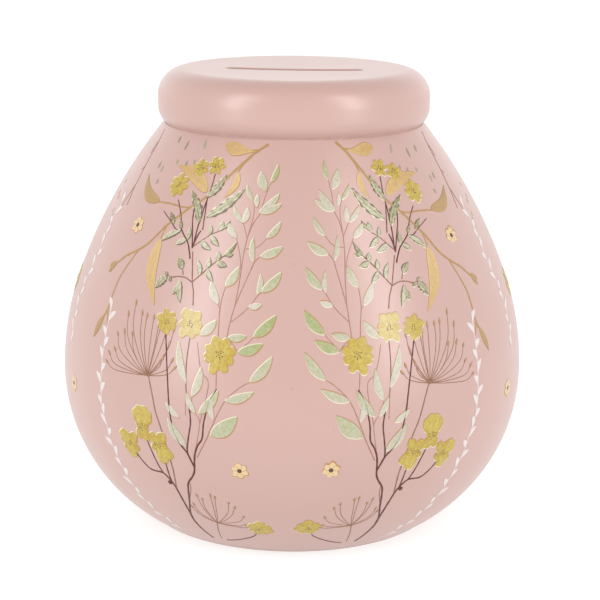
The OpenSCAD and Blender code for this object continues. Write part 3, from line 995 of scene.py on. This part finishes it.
# the shades of each colour along its tone, under the finish that it belongs to
enamels = {
    "gold_enamel": dict(
        brownEdges=[(176, 128, 72), (190, 142, 84), (200, 154, 98)],
        goldBranch=[(196, 158, 104), (186, 146, 92), (172, 132, 80)],
        goldLeaves=[(224, 190, 134), (206, 168, 110), (186, 150, 96), (168, 132, 84)],
        goldEdges=[(164, 118, 66), (176, 130, 76), (186, 140, 84)],
        budGold=[(176, 134, 88), (186, 146, 98), (196, 158, 110)]),
    "cream_enamel": dict(
        creamEdges=[(238, 226, 196), (243, 233, 206), (247, 240, 220)],
        creamPetals=[(240, 214, 172), (232, 200, 152), (220, 182, 128)]),
    "sage_enamel": dict(
        sageLeaves=[(212, 203, 188), (196, 191, 166), (179, 182, 137), (164, 171, 110)],
        oliveLeaves=[(211, 206, 182), (192, 188, 156), (158, 154, 116), (122, 114, 78)],
        dashes=[(174, 166, 136), (162, 148, 118), (158, 136, 112)]),
    "line_enamel": dict(
        pinkStems=[(186, 136, 120), (176, 126, 108), (166, 114, 98)],
        darkDots=[(84, 56, 40), (94, 64, 46), (108, 76, 54)],
        oliveOutlines=[(104, 86, 56), (120, 102, 70), (140, 124, 90)],
        darkStems=[(84, 26, 14), (98, 40, 28), (118, 62, 50)],
        brownStems=[(132, 88, 66), (144, 100, 76), (156, 114, 90)],
        umbelRays=[(140, 92, 66), (152, 106, 78), (164, 122, 94)]),
    "yellow_enamel": dict(
        yellowPetals=[(220, 202, 118), (205, 184, 90), (192, 162, 66), (172, 134, 52)],
        palePetals=[(226, 209, 160), (217, 196, 134), (205, 180, 106), (188, 158, 86)]),
    "white_enamel": dict(
        whiteSprigs=[(228, 214, 211), (233, 220, 217), (238, 226, 223)]),
}
mottles = dict(sageLeaves=0.3, yellowPetals=0.25, palePetals=0.25, oliveLeaves=0.4)
replacedNodes = dict(sageLeaves=["sage_leaves"], goldLeaves=["gold_leaves"],
                     yellowPetals=["yellow_blossoms"], creamPetals=["cream_blossoms"])

layoutDrop = 0.9  # the layout was drawn this much higher than it was fired
# the edge colours are printed out of register, and on the right-hand transfers the other way up
registerShift = dict(brownEdges=(0.15, 0.5), creamEdges=(-0.2, -0.46), goldEdges=(0.1, 0.4),
                     oliveOutlines=(0.05, 0.2))


# the transfers were laid on by hand: the right one of each pair leans over a little, most at its top,
# but not what stands past gapStart, in the gap between two pairs
gapStart = 62


def leaning(a, z):
    out = 0.045 * (z - 72) + 0.09 * max(0, z - 80) * (1 - a / 60)
    down = 0.085 * (a - 20)
    return shifted(a, z, out, -down)


# lays a film's points on the wall; side -1 mirrors it about the pair's middle
def laidOnPot(points, side, pairTurn, register):
    laid = []
    for a, z, lift in points:
        if side > 0 and a < gapStart:
            a, z = leaning(*shifted(a, z, *register))
        z = max(z - layoutDrop, 1)
        tilt = wallTilt(z)
        r = wallRadius(z) + lift * math.cos(tilt)
        angle = math.radians(side * a + pairTurn + sprayTurn)
        laid.append((r * math.sin(angle) * mm, -r * math.cos(angle) * mm, (z + lift * math.sin(tilt)) * mm))
    return laid


def makeFilm(name):
    flat = films[name]
    slot = next(slot for slot in enamels if name in enamels[slot])
    enamel = enamelMaterial(name + "Enamel", enamels[slot][name], mottles.get(name, 0.12))
    points, faces, tones = [], [], []
    for side, pairTurn in ((1, 0), (-1, 0), (1, 180), (-1, 180)):
        start = len(points)
        points += laidOnPot(flat["points"], side, pairTurn, registerShift.get(name, (0, 0)))
        tones += flat["tones"]
        faces += [[start + i for i in face] for face in flat["faces"]]
    piece = meshObject(name, points, faces, enamel, 40)
    tone = piece.data.attributes.new("tone", "FLOAT", "POINT")
    tone.data.foreach_set("value", np.array(tones, np.float32))
    finishPiece(piece, "pot", slot, *replacedNodes.get(name, []))


for name in films:
    makeFilm(name)
print("sprays fired on")


# a pale floor that runs out of sight and glows like a light table, so it is bright up to the foot
floorFinish = {"Base Color": (0.55, 0.55, 0.55, 1), "Roughness": 0.9, "Specular IOR Level": 0,
               "Emission Color": (0.96, 1, 1, 1), "Emission Strength": 0.6}


def makeFloor():
    rings, columns = [0.02, 0.1, 0.3, 1, 3, 8], 96  # metres
    points = [(0, 0, 0)]
    for r in rings:
        angles = [2 * math.pi * i / columns for i in range(columns)]
        points += [(r * math.cos(angle), r * math.sin(angle), 0) for angle in angles]
    faces = [[0, 1 + i, 1 + (i + 1) % columns] for i in range(columns)]
    for k in range(1, len(rings)):
        faces += band(1 + k * columns, 1 + (k - 1) * columns, columns)
    material, _, shader = newMaterial("paleFloor")
    setInputs(shader, floorFinish)
    mesh = bpy.data.meshes.new("floor")
    mesh.from_pydata(points, [], faces)
    mesh.materials.append(material)
    floor = placeObject("floor", mesh)


# two tall soft lamps, one on each side of the camera: degrees, metres and watts
softbox = dict(turn=50, rise=22, distance=1.3, aim=0.08, width=0.3, height=1.5, power=10)


def makeLamp(name, turn):
    data = bpy.data.lights.new(name, "AREA")
    data.shape = "RECTANGLE"
    data.size, data.size_y = softbox["width"], softbox["height"]
    data.energy = softbox["power"]
    lamp = placeObject(name, data)
    back = towards(turn + view["turn"], softbox["rise"])
    lamp.location = Vector((0, 0, softbox["aim"])) + back * softbox["distance"]
    lamp.rotation_euler = (-back).to_track_quat("-Z", "Y").to_euler()


# brightness in front of the pot, behind it and overhead, and how steeply up the ceiling begins
room = dict(front=0.7, back=1.5, ceiling=0.4, ceilingFrom=0.4)


def makeRoom():
    makeFloor()
    makeLamp("leftSoftbox", -softbox["turn"])
    makeLamp("rightSoftbox", softbox["turn"])
    world = bpy.data.worlds.new("whiteRoom")
    world.use_nodes = True
    tree = world.node_tree
    backdrop = tree.nodes["Background"]
    setInputs(backdrop, dict(Color=(1, 1, 1, 1)))
    place = tree.nodes.new("ShaderNodeTexCoord")
    ahead = tree.nodes.new("ShaderNodeVectorMath")  # how far a direction points away from the camera
    ahead.operation = "DOT_PRODUCT"
    turn = math.radians(view["turn"])
    ahead.inputs[1].default_value = (-math.sin(turn), math.cos(turn), 0)
    tree.links.new(place.outputs["Generated"], ahead.inputs[0])
    walls = addRange(tree, ahead.outputs["Value"], room["front"], room["back"], -1)
    split = tree.nodes.new("ShaderNodeSeparateXYZ")
    tree.links.new(place.outputs["Generated"], split.inputs["Vector"])
    overhead = addRange(tree, split.outputs["Z"], 1, room["ceiling"], room["ceilingFrom"])
    strength = addMath(tree, "MULTIPLY", walls, overhead)
    tree.links.new(strength, backdrop.inputs["Strength"])
    bpy.context.scene.world = world
    bpy.context.scene.view_settings.view_transform = "Standard"


makeRoom()
print("room lit")
